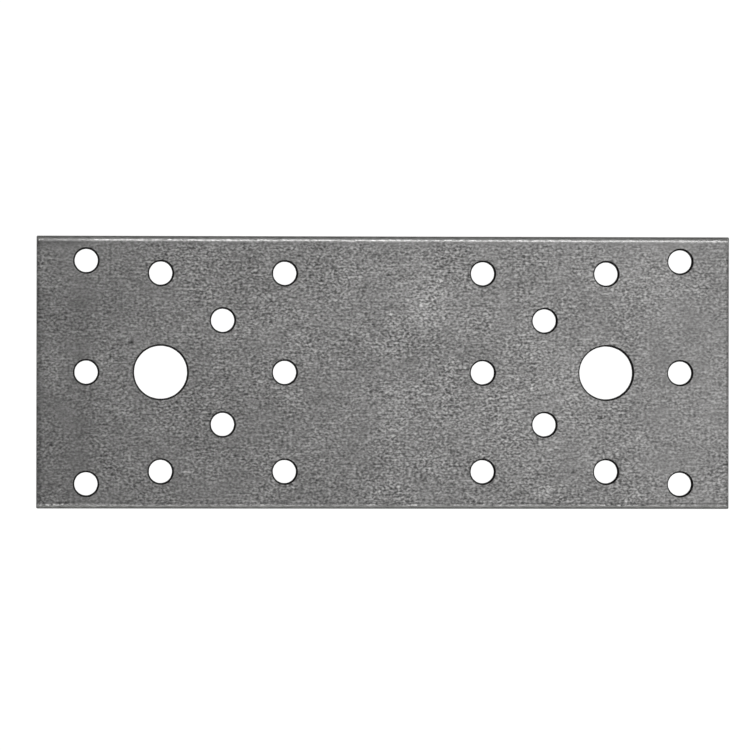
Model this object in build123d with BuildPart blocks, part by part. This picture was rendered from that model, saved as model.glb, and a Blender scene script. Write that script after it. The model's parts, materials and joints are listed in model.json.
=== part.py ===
"""Flat mending plate for timber, made from galvanised strip steel.

The strip is slit to width, punched with a group of holes for each of the two timbers,
and cropped to length. The plate lies along X on its underside, with its origin at the
middle of the underside and +Z pointing out of its face.

Every cut was made from the underside, so every edge has the same section. From the
underside up it is a rollover, where the steel was drawn down, a burnished land at the
true size of the cut, and a torn zone that falls back from the land by the clearance
between punch and die.
"""
from build123d import *

import os

# Blank
LENGTH = 140.0
WIDTH = 55.0
THICKNESS = 2.5
CORNER_RADIUS = 0.4
EDGE_BREAK = 0.35  # rounding of the face along the two long edges, left by the slitting line

# Holes, by the diameter of their land
NAIL_HOLE = 5.0
BOLT_HOLE = 11.0

# Columns of holes, measured from each end of the plate
END_COLUMN = 10.0  # three nails across the plate
BOLT_COLUMN = 25.0  # the bolt between two nails
PAIR_COLUMN = 37.5  # two nails close to the centreline
JOINT_COLUMN = 50.0  # three nails, the last ones before the joint

# Rows of nails, across the plate
END_MARGIN = 5.0  # from the long edges to the outer nails of the end column
SIDE_MARGIN = 7.5  # the same in the bolt and joint columns
PAIR_SPREAD = 21.0  # between the two nails of the pair column

# Section of a cut edge
ROLL_WIDTH = 0.5
ROLL_DEPTH = 0.15
TORN_SHARE = 0.4  # share of the thickness that tore instead of being cut
DIE_CLEARANCE = 0.25  # between punch and die, on each side

LAND_TOP = THICKNESS * (1 - TORN_SHARE)


def cut_edge(land: float, steel_side: int) -> None:
    """Draw the line of a cut edge from the underside up to the face.

    land is where the land stands. steel_side says where the steel is from there:
    -1 is towards the axis, as on the outline of the blank, and 1 is away from it,
    as around a hole.
    """
    TangentArc(
        (land + steel_side * ROLL_WIDTH, 0),
        (land, ROLL_DEPTH),
        tangent=(-steel_side, 0),
    )
    Polyline(
        (land, ROLL_DEPTH),
        (land, LAND_TOP),
        (land + steel_side * DIE_CLEARANCE, THICKNESS),
    )


def half_section(land: float, steel_side: int) -> Sketch:
    """Area between the axis and a cut edge, as high as the sheet is thick."""
    with BuildSketch() as section:
        with BuildLine():
            cut_edge(land, steel_side)
            Polyline(
                (land + steel_side * DIE_CLEARANCE, THICKNESS),
                (0, THICKNESS),
                (0, 0),
                (land + steel_side * ROLL_WIDTH, 0),
            )
        make_face()
    return section.sketch


def sheet_section(span: float) -> Sketch:
    """Section right across a sheet that was cut on both sides."""
    with BuildSketch() as section:
        add(half_section(span / 2, steel_side=-1))
        mirror(about=Plane.YZ)
    return section.sketch


def punched_hole(diameter: float) -> Part:
    """The room that a punched hole takes, standing on the underside around Z."""
    with BuildPart() as hole:
        with BuildSketch(Plane.XZ):
            add(half_section(diameter / 2, steel_side=1))
        revolve(axis=Axis.Z)
    return hole.part


def at_both_ends(column: float, *rows: float) -> list[tuple[float, float]]:
    """Hole centres in one column, at each end of the plate."""
    x = LENGTH / 2 - column
    return [(end * x, y) for end in (-1, 1) for y in rows]


end_row = WIDTH / 2 - END_MARGIN
side_row = WIDTH / 2 - SIDE_MARGIN
pair_row = PAIR_SPREAD / 2

bolt_centres = at_both_ends(BOLT_COLUMN, 0)
nail_centres = (
    at_both_ends(END_COLUMN, -end_row, 0, end_row)
    + at_both_ends(BOLT_COLUMN, -side_row, side_row)
    + at_both_ends(PAIR_COLUMN, -pair_row, pair_row)
    + at_both_ends(JOINT_COLUMN, -side_row, 0, side_row)
)

with BuildPart() as mending_plate:
    # Strip, slit to width
    with BuildSketch(Plane.YZ) as strip:
        add(sheet_section(WIDTH))
        face_corners = strip.vertices().group_by(Axis.Y)[-1]
        fillet(face_corners, radius=EDGE_BREAK)
    extrude(amount=LENGTH / 2, both=True)

    # Cropped to length
    with BuildSketch(Plane.XZ):
        add(sheet_section(LENGTH))
    extrude(amount=WIDTH / 2, both=True, mode=Mode.INTERSECT)

    # Corners
    fillet(mending_plate.edges().filter_by(Axis.Z), radius=CORNER_RADIUS)

    # Punched
    with Locations(*nail_centres):
        add(punched_hole(NAIL_HOLE), mode=Mode.SUBTRACT)
    with Locations(*bolt_centres):
        add(punched_hole(BOLT_HOLE), mode=Mode.SUBTRACT)

mending_plate.part.label = "mending_plate"

os.makedirs("parts", exist_ok=True)
export_step(mending_plate.part, "parts/mending_plate.step")
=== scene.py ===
"""Looks of the galvanised mending plate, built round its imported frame.

The frame says how big the sheet is and where every hole stands. The plate is made again
inside that box with the fine shape that slitting, cropping and punching leave on sheet
steel, then dressed in galvanised strip and bare cut steel, and set on a pale floor under
soft studio light.
"""

import json
import logging
import math
from dataclasses import dataclass
from enum import Enum

import bmesh
import bpy
from mathutils import Matrix, Vector, noise

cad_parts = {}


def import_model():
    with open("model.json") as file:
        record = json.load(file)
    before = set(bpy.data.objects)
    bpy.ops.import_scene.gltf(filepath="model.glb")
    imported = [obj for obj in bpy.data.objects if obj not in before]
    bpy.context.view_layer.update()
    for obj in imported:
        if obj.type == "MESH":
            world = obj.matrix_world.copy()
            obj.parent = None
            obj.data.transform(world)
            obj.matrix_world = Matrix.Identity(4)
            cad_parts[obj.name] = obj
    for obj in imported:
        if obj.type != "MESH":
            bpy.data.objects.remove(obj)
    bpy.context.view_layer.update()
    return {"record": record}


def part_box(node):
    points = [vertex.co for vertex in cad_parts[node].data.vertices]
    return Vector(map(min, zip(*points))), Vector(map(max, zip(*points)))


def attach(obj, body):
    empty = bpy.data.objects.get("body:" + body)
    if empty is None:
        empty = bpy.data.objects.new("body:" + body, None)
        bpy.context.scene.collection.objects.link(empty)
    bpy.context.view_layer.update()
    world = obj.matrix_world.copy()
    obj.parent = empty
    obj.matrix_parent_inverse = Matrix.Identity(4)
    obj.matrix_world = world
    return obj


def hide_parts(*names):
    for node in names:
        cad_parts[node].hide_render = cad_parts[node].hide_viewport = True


MM = 0.001
NOISE_LOW, NOISE_HIGH = 0.3, 0.7  # nearly all of a noise pattern lies between these
MARK_DEPTH = 1.0  # how far below the face a mark fades out, in millimetres

log = logging.getLogger("mending_plate")


def linear(hex_colour: str) -> tuple[float, float, float, float]:
    """Turn an sRGB hex colour into the linear one that Blender's sockets take.

    Args:
        hex_colour: Six hex digits after a hash.

    Returns:
        Linear red, green, blue and a full alpha.
    """
    channels = [int(hex_colour[i : i + 2], 16) / 255 for i in (1, 3, 5)]
    red, green, blue = (
        c / 12.92 if c <= 0.04045 else ((c + 0.055) / 1.055) ** 2.4 for c in channels
    )
    return red, green, blue, 1.0


def cells(x: float, y: float, z: float) -> tuple[float, float, float]:
    """Scale that makes one cell of a pattern this many millimetres long, wide and high."""
    return 1 / (x * MM), 1 / (y * MM), 1 / (z * MM)


def add_node(
    tree: bpy.types.NodeTree,
    kind: str,
    inputs: dict[str | int, object] | None = None,
    **settings: object,
) -> bpy.types.Node:
    """Add a node, with its settings and with what goes into it.

    Args:
        tree: Tree that gets the node.
        kind: Blender's name for the type of node.
        inputs: Value, or output to link, for each input by name or number.
        settings: Properties of the node itself.

    Returns:
        The new node.
    """
    node = tree.nodes.new(kind)
    for name, value in settings.items():
        setattr(node, name, value)
    for socket, value in (inputs or {}).items():
        if isinstance(value, bpy.types.NodeSocket):
            tree.links.new(value, node.inputs[socket])
        else:
            node.inputs[socket].default_value = value
    return node


class Finish(Enum):
    """Surfaces of the plate, by their number in its list of materials."""

    ZINC = 0
    LAND = 1
    SLIT = 2
    # Torn zone inside the holes, its colour painted nearly black as painted shade
    TORN_WITH_PAINTED_SHADE = 3


@dataclass(frozen=True)
class Mark:
    """A soft-edged oval on the face where the zinc differs from the rest.

    Args:
        centre: Of the oval, in millimetres.
        radii: Half its length and width, in millimetres.
        tone: Added to the share of light zinc.
        rubbed: Share of the grain that is rubbed away. Below nought, the grain is stronger.
    """

    centre: tuple[float, float]
    radii: tuple[float, float]
    tone: float = 0.0
    rubbed: float = 0.0


@dataclass(frozen=True)
class Layer:
    """One pattern in the zinc.

    Args:
        cell: Length and width of its cells, in millimetres.
        share: How strongly it counts.
        curl: How far its cells are twisted.
        thread: Above nought, only thin light threads this wide between the cells are kept.
    """

    cell: tuple[float, float]
    share: float
    curl: float = 0.0
    thread: float = 0.0


@dataclass(frozen=True)
class GalvanisedStrip:
    """Hot-dip galvanised strip, wiped in the zinc bath and then rolled once more.

    The last pass flattens the spangle and prints the roll's own grain, so the eye sees a
    dull mid-grey with a fine worm-like grain that runs along the strip, faint streaks,
    slow clouding and a few handling marks. The grain of a real roll is about 0.1 mm fine,
    which is too fine to show here, so it is drawn as coarse as it needs to show.

    Args:
        face: Height of the face above the underside, in millimetres.
        dark: Colour of the deepest grain.
        light: Colour of the highest grain.
        shade: Share of light zinc before any pattern, from 0 to 1.
        gamma: Power that spreads the shares as the eye sees them.
        contrast: Strength of the grain.
        contrast_swing: Share by which that strength varies from patch to patch.
        roughness: Of the zinc.
        roughness_swing: How much rougher the deepest grain is, and smoother the highest.
        bump: Depth of the grain, in millimetres.
        grain: Layers of the rolled grain.
        clouds: Layers of the slow clouding.
        patch: Length and width of the patches in millimetres.
        marks: Handling marks, and places where the roll pressed less.
    """

    face: float
    dark: str = "#1d1d1d"
    light: str = "#e7e6e5"
    shade: float = 0.57
    gamma: float = 2.2
    contrast: float = 0.63
    contrast_swing: float = 0.3
    roughness: float = 0.42
    roughness_swing: float = 0.1
    bump: float = 0.012
    grain: tuple[Layer, ...] = (
        Layer((0.56, 0.415), 1.0, 0.5),
        Layer((1.8, 0.36), 0.28, 0.5),
        Layer((5.0, 0.36), 0.2),
        Layer((1.4, 0.45), 0.12, 1.0, 0.05),
    )
    clouds: tuple[Layer, ...] = (Layer((4.0, 3.2), 0.075), Layer((24.0, 14.0), 0.08))
    patch: tuple[float, float] = (9.0, 7.0)
    marks: tuple[Mark, ...] = (
        Mark((-62.0, 0.0), (6.0, 60.0), rubbed=0.35),
        Mark((60.0, 0.0), (14.0, 60.0), rubbed=0.35),
        Mark((-61.0, 1.0), (3.5, 22.0), -0.05),
        Mark((-66.5, 1.0), (2.0, 9.0), 0.05),
        Mark((8.5, 14.0), (7.0, 8.0), 0.05, -0.3),
        Mark((-66.0, 26.6), (14.0, 1.2), -0.14),
        Mark((0.0, 26.4), (300.0, 1.3), rubbed=0.5),
        Mark((-39.8, -20.1), (2.4, 0.3), 0.25),
        Mark((-51.0, 6.0), (0.9, 0.5), -0.3),
        Mark((44.0, -9.0), (0.6, 0.6), -0.3),
    )

    def material(self) -> bpy.types.Material:
        """Build the material.

        Returns:
            The galvanised steel of the face and the underside.
        """
        material = bpy.data.materials.new("galvanised_strip_steel")
        material.use_nodes = True
        tree = material.node_tree
        tree.nodes.clear()
        place = add_node(tree, "ShaderNodeTexCoord").outputs["Object"]
        grain = self._layered(tree, place, self.grain)
        relief = self._added(tree, grain, self._depth(tree, place), 0.0)
        tone = self._layered(tree, place, self.clouds)
        tone = self._added(tree, relief, 1.0, tone)
        tone = self._added(tree, tone, 1.0, self.shade)
        for mark in self.marks:
            if mark.tone:
                tone = self._added(tree, self._spot(tree, place, mark), mark.tone, tone)
        light = add_node(
            tree, "ShaderNodeMath", {0: tone, 1: self.gamma}, operation="POWER"
        )
        colour = add_node(
            tree,
            "ShaderNodeMix",
            {0: light.outputs[0], 6: linear(self.dark), 7: linear(self.light)},
            data_type="RGBA",
        )
        roughness = add_node(
            tree,
            "ShaderNodeMapRange",
            {
                "Value": tone,
                "To Min": self.roughness + self.roughness_swing,
                "To Max": self.roughness - self.roughness_swing,
            },
        )
        bump = add_node(
            tree,
            "ShaderNodeBump",
            {"Strength": 1.0, "Distance": self.bump * MM, "Height": relief},
        )
        shader = add_node(
            tree,
            "ShaderNodeBsdfPrincipled",
            {
                "Base Color": colour.outputs[2],
                "Metallic": 1.0,
                "Roughness": roughness.outputs[0],
                "Normal": bump.outputs[0],
            },
        )
        add_node(tree, "ShaderNodeOutputMaterial", {"Surface": shader.outputs[0]})
        return material

    def _layered(
        self,
        tree: bpy.types.NodeTree,
        place: bpy.types.NodeSocket,
        layers: tuple[Layer, ...],
    ) -> bpy.types.NodeSocket:
        """Add up layers of pattern, each swinging about nought.

        Args:
            tree: Tree that gets the nodes.
            place: Object coordinates.
            layers: The layers to add up.

        Returns:
            Their sum.
        """
        total = 0.0
        for layer in layers:
            cell = add_node(
                tree,
                "ShaderNodeMapping",
                {"Vector": place, "Scale": cells(*layer.cell, layer.cell[1])},
            )
            pattern = add_node(
                tree,
                "ShaderNodeTexNoise",
                {
                    "Vector": cell.outputs[0],
                    "Scale": 1.0,
                    "Detail": 0.0,
                    "Distortion": layer.curl,
                },
            )
            swing = add_node(
                tree,
                "ShaderNodeMath",
                {0: pattern.outputs[0], 1: 0.5},
                operation="SUBTRACT",
            )
            if layer.thread:
                fold = add_node(
                    tree, "ShaderNodeMath", {0: swing.outputs[0]}, operation="ABSOLUTE"
                )
                swing = add_node(
                    tree,
                    "ShaderNodeMapRange",
                    {
                        "Value": fold.outputs[0],
                        "From Max": layer.thread,
                        "To Min": 1.0,
                        "To Max": 0.0,
                    },
                )
            total = self._added(tree, swing.outputs[0], layer.share, total)
        return total

    def _added(
        self,
        tree: bpy.types.NodeTree,
        value: bpy.types.NodeSocket,
        share: bpy.types.NodeSocket | float,
        total: bpy.types.NodeSocket | float,
    ) -> bpy.types.NodeSocket:
        """Add a share of one value to a total.

        Args:
            tree: Tree that gets the node.
            value: What is added.
            share: How much of it.
            total: What it is added to.

        Returns:
            The new total.
        """
        inputs = {0: value, 1: share, 2: total}
        return add_node(tree, "ShaderNodeMath", inputs, operation="MULTIPLY_ADD").outputs[0]

    def _depth(
        self, tree: bpy.types.NodeTree, place: bpy.types.NodeSocket
    ) -> bpy.types.NodeSocket:
        """Work out how strong the grain is, patch by patch.

        Args:
            tree: Tree that gets the nodes.
            place: Object coordinates.

        Returns:
            Strength of the grain.
        """
        patch_map = add_node(
            tree,
            "ShaderNodeMapping",
            {"Vector": place, "Scale": cells(*self.patch, self.patch[0])},
        )
        patch = add_node(
            tree, "ShaderNodeTexNoise", {"Vector": patch_map.outputs[0], "Scale": 1.0}
        )
        depth = add_node(
            tree,
            "ShaderNodeMapRange",
            {
                "Value": patch.outputs[0],
                "From Min": NOISE_LOW,
                "From Max": NOISE_HIGH,
                "To Min": (1 - self.contrast_swing) * self.contrast,
                "To Max": (1 + self.contrast_swing) * self.contrast,
            },
        ).outputs[0]
        for mark in self.marks:
            if mark.rubbed:
                spot = self._spot(tree, place, mark)
                depth = self._added(tree, spot, -mark.rubbed * self.contrast, depth)
        return depth

    def _spot(
        self, tree: bpy.types.NodeTree, place: bpy.types.NodeSocket, mark: Mark
    ) -> bpy.types.NodeSocket:
        """Lay out the soft oval of one mark.

        Args:
            tree: Tree that gets the nodes.
            place: Object coordinates.
            mark: The mark.

        Returns:
            One in the middle of the oval, falling to nought at its edge.
        """
        inside = add_node(
            tree,
            "ShaderNodeMapping",
            {
                "Vector": place,
                "Location": (mark.centre[0] * MM, mark.centre[1] * MM, self.face * MM),
                "Scale": (mark.radii[0] * MM, mark.radii[1] * MM, MARK_DEPTH * MM),
            },
            vector_type="TEXTURE",
        )
        distance = add_node(
            tree, "ShaderNodeVectorMath", {0: inside.outputs[0]}, operation="LENGTH"
        )
        spot = add_node(
            tree,
            "ShaderNodeMapRange",
            {"Value": distance.outputs["Value"], "To Min": 1.0, "To Max": 0.0},
            interpolation_type="SMOOTHSTEP",
        )
        return spot.outputs[0]


@dataclass(frozen=True)
class CutSteel:
    """Bare steel on a sheared edge.

    On the land the punch or blade rubbed the steel bright and drew fine lines through the
    thickness. In the torn zone the steel broke, which leaves it dark, matt and rough; inside
    the holes its colour is also painted nearly black, as painted shade.

    Args:
        name: Of the finish, by how the steel was left.
        dark: Colour at the bottom of the lines.
        light: Colour on top of the lines.
        roughness: Of the steel.
        line: Length, width and height of one line, in millimetres.
        depth: Of the lines, in millimetres.
    """

    name: str
    dark: str
    light: str
    roughness: float
    line: tuple[float, float, float]
    depth: float

    def material(self) -> bpy.types.Material:
        """Build the material.

        Returns:
            The bare steel of one band of the cut edges.
        """
        material = bpy.data.materials.new(self.name)
        material.use_nodes = True
        tree = material.node_tree
        tree.nodes.clear()
        place = add_node(tree, "ShaderNodeTexCoord").outputs["Object"]
        line_map = add_node(
            tree, "ShaderNodeMapping", {"Vector": place, "Scale": cells(*self.line)}
        )
        line = add_node(
            tree,
            "ShaderNodeTexNoise",
            {"Vector": line_map.outputs[0], "Scale": 1.0, "Detail": 3.0, "Roughness": 0.6},
        )
        tone = add_node(
            tree,
            "ShaderNodeMapRange",
            {"Value": line.outputs[0], "From Min": NOISE_LOW, "From Max": NOISE_HIGH},
        )
        colour = add_node(
            tree,
            "ShaderNodeMix",
            {0: tone.outputs[0], 6: linear(self.dark), 7: linear(self.light)},
            data_type="RGBA",
        )
        bump = add_node(
            tree,
            "ShaderNodeBump",
            {"Strength": 0.8, "Distance": self.depth * MM, "Height": line.outputs[0]},
        )
        shader = add_node(
            tree,
            "ShaderNodeBsdfPrincipled",
            {
                "Base Color": colour.outputs[2],
                "Metallic": 1.0,
                "Roughness": self.roughness,
                "Normal": bump.outputs[0],
            },
        )
        add_node(tree, "ShaderNodeOutputMaterial", {"Surface": shader.outputs[0]})
        return material


@dataclass(frozen=True)
class Ring:
    """A line right round a cut edge.

    Args:
        left: How far it lies back into the steel from the land at -X, in millimetres.
        right: The same at +X.
        sides: The same at -Y and +Y.
        height: Above the underside, in millimetres.
        finish: Of the band between this ring and the one above it.
        ragged: How far it wanders, in millimetres.
        wave: Length over which it wanders, in millimetres.
    """

    left: float
    right: float
    sides: float
    height: float
    finish: Finish
    ragged: float = 0.0
    wave: float = 0.6


@dataclass
class CutEdge:
    """The wall of the plate's outline or of one hole, from the face down to the underside.

    Steel lies inside the outline and outside a hole.

    Args:
        centre: Of the land.
        half: Half the land's length and width.
        steel_side: Which way the steel lies from the land: -1 is inwards, 1 is outwards.
        rings: Lines round the edge, from the face down.
    """

    centre: Vector
    half: tuple[float, float]
    steel_side: int
    rings: tuple[Ring, ...]

    def span(self, ring: Ring) -> tuple[float, float]:
        """Half the length and width of one ring."""
        return (
            self.half[0] + self.steel_side * (ring.left + ring.right) / 2 * MM,
            self.half[1] + self.steel_side * ring.sides * MM,
        )

    def middle(self, ring: Ring) -> float:
        """Place along X of the middle of one ring."""
        return self.centre.x + self.steel_side * (ring.right - ring.left) / 2 * MM

    def grow(
        self, bm: bmesh.types.BMesh, rim: list[bmesh.types.BMEdge]
    ) -> list[bmesh.types.BMEdge]:
        """Extrude the wall down from the rim, ring by ring.

        Args:
            bm: Mesh that gets the wall.
            rim: Edges of the first ring, which lies in the face.

        Returns:
            Edges of the last ring, which lies in the underside.
        """
        lines = []
        edges = rim
        for above, ring in zip(self.rings, self.rings[1:]):
            grown = bmesh.ops.extrude_edge_only(bm, edges=edges)["geom"]
            verts = [item for item in grown if isinstance(item, bmesh.types.BMVert)]
            fresh = set(verts)
            edges = [
                item
                for item in grown
                if isinstance(item, bmesh.types.BMEdge) and fresh.issuperset(item.verts)
            ]
            wide, deep = self.span(ring)
            old_wide, old_deep = self.span(above)
            space = Matrix.Translation((-self.middle(above), -self.centre.y, 0))
            bmesh.ops.scale(
                bm, vec=(wide / old_wide, deep / old_deep, 1), space=space, verts=verts
            )
            shift = self.middle(ring) - self.middle(above)
            drop = (ring.height - above.height) * MM
            bmesh.ops.translate(bm, vec=(shift, 0, drop), verts=verts)
            for face in {face for vert in verts for face in vert.link_faces}:
                face.material_index = ring.finish.value
                face.smooth = True
            lines.append((ring, verts))
        for ring, verts in lines:
            for vert in verts:
                vert.co += ring.ragged * MM * noise.noise_vector(vert.co / (ring.wave * MM))
        return edges


@dataclass
class MendingPlate:
    """The plate: a slit, cropped and punched piece of galvanised strip.

    Every cut was made from the underside, so each edge has the same bands. From the face
    down they are the torn zone, the land and the rollover. The face of the long edges was
    also rounded by the slitting line.

    Args:
        box: Low and high corner of the blank.
        holes: Centre of each hole and radius of its land.
        corner: How far each corner of the blank is broken.
        step: Length of one stretch of the outline.
        nail_segments: Stretches round a nail hole. A bolt hole has twice as many.
        bolt_from: Radius from which a hole is for a bolt.
        sharp_from: Angle from which an edge looks sharp.
        seed: Of the wander along the cut edges.
        finishes: In the order of Finish.
    """

    box: tuple[Vector, Vector]
    holes: list[tuple[Vector, float]]
    corner: float = 0.25 * MM
    step: float = 0.7 * MM
    nail_segments: int = 64
    bolt_from: float = 4.0 * MM
    sharp_from: float = math.radians(32)
    seed: int = 1
    finishes: tuple[GalvanisedStrip | CutSteel, ...] = ()

    def outline(self) -> CutEdge:
        """Work out the cut edge right round the plate.

        Returns:
            The edge, with its rings from the face down.
        """
        low, high = self.box
        top = (high.z - low.z) / MM
        rings = (
            Ring(1.0, 1.4, 1.3, top, Finish.ZINC),
            Ring(0.65, 1.1, 1.15, top - 0.01, Finish.ZINC),
            Ring(0.24, 0.75, 0.95, top - 0.05, Finish.ZINC, 0.01, 4.0),
            Ring(0.17, 0.4, 0.75, top - 0.12, Finish.ZINC, 0.02, 3.0),
            Ring(0.14, 0.24, 0.6, top - 0.21, Finish.ZINC, 0.02, 3.0),
            Ring(0.12, 0.16, 0.48, top - 0.32, Finish.SLIT, 0.02, 3.0),
            Ring(0.09, 0.12, 0.3, top - 0.55, Finish.SLIT, 0.03, 2.0),
            Ring(0.05, 0.08, 0.15, top - 0.82, Finish.SLIT, 0.03, 2.0),
            Ring(0.02, 0.03, 0.05, top - 1.0, Finish.SLIT, 0.015, 2.0),
            Ring(0.0, 0.0, 0.0, top - 1.2, Finish.LAND),
            Ring(0.0, 0.0, 0.0, 0.2, Finish.LAND),
            Ring(0.04, 0.04, 0.04, 0.1, Finish.ZINC),
            Ring(0.15, 0.15, 0.15, 0.035, Finish.ZINC),
            Ring(0.5, 0.5, 0.5, 0.0, Finish.ZINC),
        )
        half = ((high.x - low.x) / 2, (high.y - low.y) / 2)
        return CutEdge((low + high) / 2, half, -1, rings)

    def punched(self, centre: Vector, radius: float) -> CutEdge:
        """Work out the wall of one hole.

        Args:
            centre: Of the hole.
            radius: Of its land.

        Returns:
            The edge, with its rings from the face down.
        """
        low, high = self.box
        top = (high.z - low.z) / MM
        rings = (
            Ring(0.14, 0.22, 0.18, top, Finish.ZINC),
            # The torn bands below are painted nearly black, as painted shade inside the hole
            Ring(0.12, 0.2, 0.16, top - 0.05, Finish.TORN_WITH_PAINTED_SHADE, 0.02),
            Ring(0.03, 0.08, 0.05, top - 0.4, Finish.TORN_WITH_PAINTED_SHADE, 0.05),
            Ring(-0.08, -0.08, -0.08, top - 0.8, Finish.TORN_WITH_PAINTED_SHADE, 0.05),
            Ring(-0.18, -0.18, -0.18, top - 1.1, Finish.TORN_WITH_PAINTED_SHADE, 0.03),
            Ring(-0.14, -0.14, -0.14, top - 1.3, Finish.LAND),
            Ring(-0.03, -0.03, -0.03, 0.9, Finish.LAND),
            Ring(0.0, 0.0, 0.0, 0.2, Finish.LAND),
            Ring(0.04, 0.04, 0.04, 0.1, Finish.ZINC),
            Ring(0.15, 0.15, 0.15, 0.035, Finish.ZINC),
            Ring(0.5, 0.5, 0.5, 0.0, Finish.ZINC),
        )
        return CutEdge(Vector((centre.x, centre.y, 0)), (radius, radius), 1, rings)

    def build(self) -> bpy.types.Object:
        """Build the plate's mesh and dress it.

        Returns:
            The plate, in its place in the frame.
        """
        noise.seed_set(self.seed)
        bm = bmesh.new()
        outline = self.outline()
        rims = [self._blank_rim(bm, outline)]
        edges = [outline]
        for centre, radius in self.holes:
            edge = self.punched(centre, radius)
            edges.append(edge)
            rims.append(self._hole_rim(bm, edge))
        feet = [edge.grow(bm, rim) for edge, rim in zip(edges, rims)]
        for loops, up in ((rims, 1), (feet, -1)):
            lines = [edge for loop in loops for edge in loop]
            bmesh.ops.triangle_fill(bm, use_beauty=True, edges=lines, normal=(0, 0, up))
        bmesh.ops.recalc_face_normals(bm, faces=bm.faces)
        for edge in bm.edges:
            edge.smooth = edge.calc_face_angle(0) < self.sharp_from
        mesh = bpy.data.meshes.new("plate")
        bm.to_mesh(mesh)
        bm.free()
        plate = bpy.data.objects.new("plate", mesh)
        bpy.context.scene.collection.objects.link(plate)
        for finish in self.finishes:
            mesh.materials.append(finish.material())
        return plate

    def _blank_rim(self, bm: bmesh.types.BMesh, edge: CutEdge) -> list[bmesh.types.BMEdge]:
        """Draw where the face of the blank ends.

        Args:
            bm: Mesh that gets the line.
            edge: The outline's cut edge.

        Returns:
            The edges of the line.
        """
        wide, deep = edge.span(edge.rings[0])
        height = edge.rings[0].height * MM
        place = Matrix.Translation((edge.middle(edge.rings[0]), edge.centre.y, height))
        scale = Matrix.Diagonal((wide, deep, 1, 1))
        verts = bmesh.ops.create_grid(
            bm, x_segments=1, y_segments=1, size=1, matrix=place @ scale
        )["verts"]
        bmesh.ops.bevel(
            bm,
            geom=verts,
            offset=self.corner,
            segments=4,
            profile=0.5,
            affect="VERTICES",
            material=-1,
        )
        bmesh.ops.delete(bm, geom=list(bm.faces), context="FACES_ONLY")
        for line in [line for line in bm.edges if line.calc_length() > 2 * self.corner]:
            cuts = round(line.calc_length() / self.step) - 1
            bmesh.ops.subdivide_edges(bm, edges=[line], cuts=cuts)
        return list(bm.edges)

    def _hole_rim(self, bm: bmesh.types.BMesh, edge: CutEdge) -> list[bmesh.types.BMEdge]:
        """Draw where the face ends at a hole.

        Args:
            bm: Mesh that gets the line.
            edge: The hole's cut edge.

        Returns:
            The edges of the line.
        """
        top = edge.rings[0]
        radius = edge.span(top)[0]
        place = Matrix.Translation((edge.middle(top), edge.centre.y, top.height * MM))
        segments = self.nail_segments * (2 if radius >= self.bolt_from else 1)
        circle = bmesh.ops.create_circle(bm, segments=segments, radius=radius, matrix=place)
        return list(dict.fromkeys(line for vert in circle["verts"] for line in vert.link_edges))


@dataclass(frozen=True)
class Softbox:
    """A soft studio light, aimed at the plate.

    Args:
        name: Of the light.
        place: Of its middle, in metres.
        size: Length and width, in metres.
        power: In watts.
    """

    name: str
    place: tuple[float, float, float]
    size: tuple[float, float]
    power: float

    def build(self) -> None:
        """Build the light, turned towards the plate."""
        data = bpy.data.lights.new(self.name, "AREA")
        data.shape = "RECTANGLE"
        data.size, data.size_y = self.size
        data.energy = self.power
        light = bpy.data.objects.new(self.name, data)
        light.location = self.place
        light.rotation_euler = Vector(self.place).to_track_quat("Z", "Y").to_euler()
        light.visible_camera = False
        bpy.context.scene.collection.objects.link(light)


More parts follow.
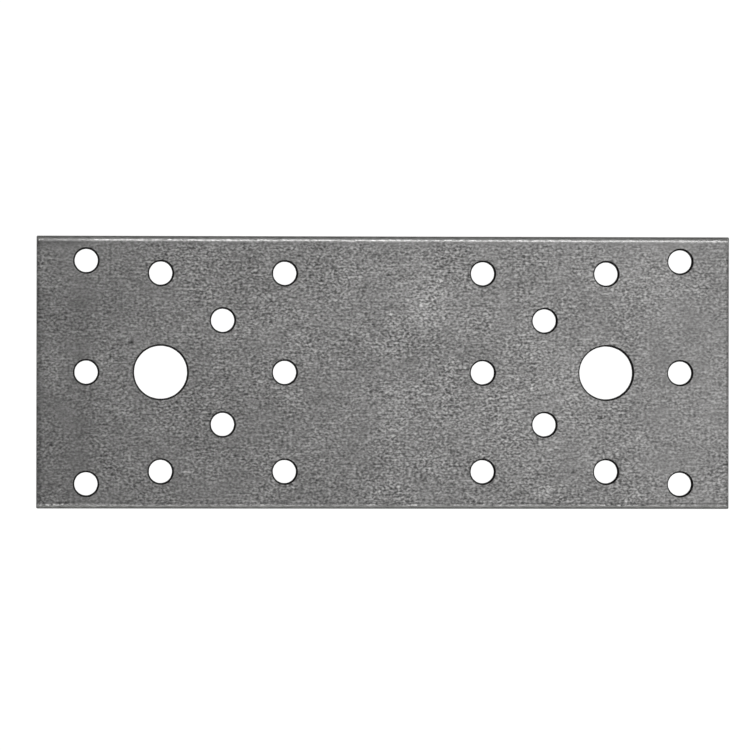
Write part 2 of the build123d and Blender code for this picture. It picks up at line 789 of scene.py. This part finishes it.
@dataclass
class Studio:
    """A pale floor in a room with soft light.

    The floor is a lit white sweep, which only the camera sees. Grey paper just below it is
    what the plate's edges reflect instead, so that they don't burn out.

    Args:
        floor_size: Length of each side of the floor, in metres.
        sweep_light: Brightness of the white sweep.
        bench_drop: How far the grey paper lies below the plate, in millimetres.
        room_light: Brightness of the room.
        softboxes: The lights.
    """

    floor_size: float = 6.0
    sweep_light: float = 1.05
    bench_drop: float = 0.02
    room_light: float = 0.12
    softboxes: tuple[Softbox, ...] = (
        Softbox("key", (0.145, 0.03, 0.45), (0.23, 0.4), 0.365),
        Softbox("back_strip", (0.15, 0.7, 0.75), (1.2, 0.3), 8.5),
        Softbox("front_strip", (0.0, -0.7, 0.75), (1.4, 0.3), 2.4),
        Softbox("front_card", (0.0, -1.2, 0.28), (3.0, 0.5), 10.0),
        Softbox("back_card", (0.0, 1.3, 0.3), (3.0, 0.4), 3.5),
        Softbox("left_card", (-1.3, 0.0, 0.3), (2.0, 0.4), 3.0),
        Softbox("right_card", (1.3, 0.0, 0.3), (2.0, 0.4), 4.0),
    )

    def build(self) -> None:
        """Build the floor, the room and its lights."""
        floor = self._floor("floor", self._glow(), 0.0)
        floor.visible_diffuse = floor.visible_glossy = False
        floor.visible_transmission = floor.visible_shadow = False
        bench = self._floor("bench", self._matt(), self.bench_drop)
        bench.visible_camera = False
        world = bpy.context.scene.world or bpy.data.worlds.new("room")
        bpy.context.scene.world = world
        world.use_nodes = True
        world.node_tree.nodes.clear()
        room = add_node(
            world.node_tree,
            "ShaderNodeBackground",
            {"Color": linear("#ffffff"), "Strength": self.room_light},
        )
        add_node(world.node_tree, "ShaderNodeOutputWorld", {"Surface": room.outputs[0]})
        for softbox in self.softboxes:
            softbox.build()
        bpy.context.scene.view_settings.view_transform = "Standard"

    def _floor(self, name: str, material: bpy.types.Material, drop: float) -> bpy.types.Object:
        """Lay a flat sheet under the plate.

        Args:
            name: Of the sheet.
            material: Of the sheet.
            drop: How far it lies below the plate, in millimetres.

        Returns:
            The sheet.
        """
        bm = bmesh.new()
        bmesh.ops.create_grid(
            bm,
            x_segments=1,
            y_segments=1,
            size=self.floor_size / 2,
            matrix=Matrix.Translation((0, 0, -drop * MM)),
        )
        mesh = bpy.data.meshes.new(name)
        bm.to_mesh(mesh)
        bm.free()
        mesh.materials.append(material)
        sheet = bpy.data.objects.new(name, mesh)
        bpy.context.scene.collection.objects.link(sheet)
        return sheet

    def _glow(self) -> bpy.types.Material:
        """Build the white of a lit sweep.

        Returns:
            The floor's material.
        """
        material = bpy.data.materials.new("lit_white_paper")
        material.use_nodes = True
        tree = material.node_tree
        tree.nodes.clear()
        glow = add_node(
            tree,
            "ShaderNodeEmission",
            {"Color": linear("#ffffff"), "Strength": self.sweep_light},
        )
        add_node(tree, "ShaderNodeOutputMaterial", {"Surface": glow.outputs[0]})
        return material

    def _matt(self) -> bpy.types.Material:
        """Build the grey paper that the plate's edges reflect.

        Returns:
            The bench's material.
        """
        material = bpy.data.materials.new("grey_paper")
        material.use_nodes = True
        tree = material.node_tree
        tree.nodes.clear()
        matt = add_node(tree, "ShaderNodeBsdfDiffuse", {"Color": linear("#959595")})
        add_node(tree, "ShaderNodeOutputMaterial", {"Surface": matt.outputs[0]})
        return material


@dataclass(frozen=True)
class Camera:
    """A camera high above the left half of the plate, looking down at its middle.

    Args:
        place: In metres.
        aim: Point that it looks at, in metres.
        lens: Focal length, in millimetres.
        roll: About its own axis, in degrees.
    """

    place: tuple[float, float, float] = (-0.055, 0.003, 1.2025)
    aim: tuple[float, float, float] = (-0.00176, -0.00048, 0.0025)
    lens: float = 285.75
    roll: float = 0.1

    def build(self) -> bpy.types.Object:
        """Build the camera and make it the scene's own.

        Returns:
            The camera.
        """
        data = bpy.data.cameras.new("camera")
        data.lens = self.lens
        camera = bpy.data.objects.new("camera", data)
        back = (Vector(self.place) - Vector(self.aim)).normalized()
        right = Vector((0, 1, 0)).cross(back).normalized()
        up = back.cross(right)
        turn = Matrix((right, up, back)).transposed().to_4x4()
        roll = Matrix.Rotation(math.radians(self.roll), 4, "Z")
        camera.matrix_world = Matrix.Translation(self.place) @ turn @ roll
        bpy.context.scene.collection.objects.link(camera)
        bpy.context.scene.camera = camera
        return camera


def main() -> None:
    """Build the plate, its studio and the camera, and report each piece."""
    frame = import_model()

    holes = [
        (Vector(mount["pos_m"]), mount["dims"]["r_mm"] * MM)
        for mount in frame["record"]["mounts"]
        if mount["kind"] == "bore"
    ]
    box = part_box("mending_plate")
    finishes = (
        GalvanisedStrip(face=(box[1].z - box[0].z) / MM),
        # Bare steel of the land, rubbed bright by the tool: pale, with fine upright lines
        CutSteel("burnished_steel", "#6d6b69", "#a8a6a3", 0.32, (0.16, 0.16, 3.0), 0.004),
        # Bare steel of the slit edge above the land, sheared by round knives: satin grey
        CutSteel("slit_steel", "#6a6a69", "#a3a3a1", 0.5, (1.2, 0.5, 0.2), 0.01),
        # Bare steel of the torn zone in the holes, broken and not cut: matt and grainy, its
        # colour painted nearly black as painted shade inside the holes
        CutSteel("torn_steel_with_painted_shade", "#161615", "#343332", 0.6, (0.25, 0.25, 0.18), 0.03),
    )
    plate = MendingPlate(box, holes, finishes=finishes).build()
    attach(plate, "root")
    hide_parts("mending_plate")
    log.info("plate: %d faces, %d holes", len(plate.data.polygons), len(holes))

    Studio().build()
    log.info("studio: floor and soft lights")
    camera = Camera().build()
    log.info("camera: %.0f mm lens", camera.data.lens)


if __name__ == "__main__":
    logging.basicConfig(level=logging.INFO, format="%(message)s")
    main()
